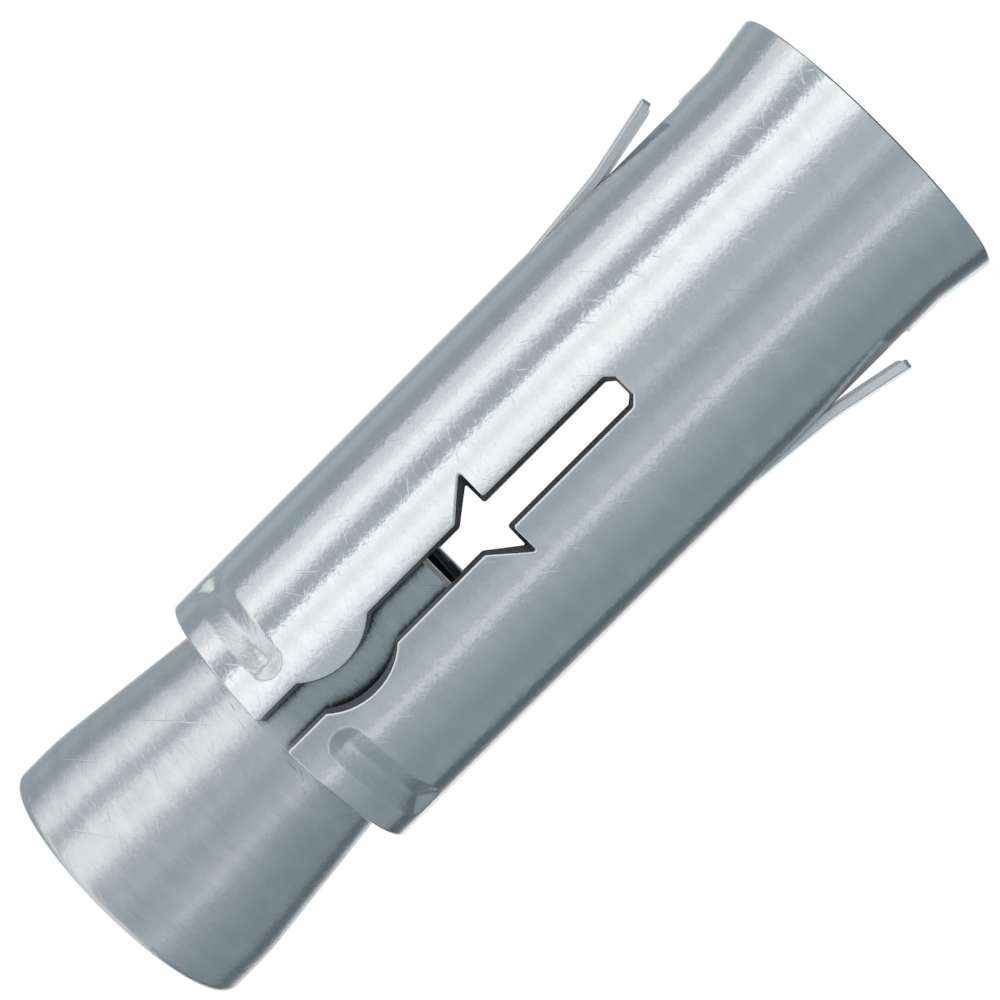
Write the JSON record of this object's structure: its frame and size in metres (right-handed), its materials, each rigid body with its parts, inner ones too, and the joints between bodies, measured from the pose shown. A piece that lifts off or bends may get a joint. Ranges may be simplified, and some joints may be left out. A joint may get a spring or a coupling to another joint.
{
  "type": "hollow wall anchor",
  "caption": "Steel anchor for hollow slabs: a slotted expansion sleeve with a flared rim, pressed grooves and gripping tongues, and a threaded cone nut drawn into its mouth.",
  "frame": {"origin": "centre of the rim's end face, on the sleeve's axis", "axes": "+Z along the axis from the flared rim to the cone nut, -Y out through the front slot, +X through one leg and its tongue"},
  "size_m": [0.0186, 0.0168, 0.0516],
  "materials": {
    "sleeve_zinc": "bright zinc plated, drawn along the axis, lightly scratched",
    "cone_zinc": "bright zinc plated over a turned surface, lightly scratched"
  },
  "bodies": {
    "sleeve": {"expansion_sleeve": "sleeve_zinc"},
    "cone": {"cone_nut": "cone_zinc"}
  },
  "joints": [
    {"name": "cone_draw", "type": "slide", "parent": "sleeve", "child": "cone", "axis": [0, 0, -1], "range_m": [0, 0.002]}
  ]
}
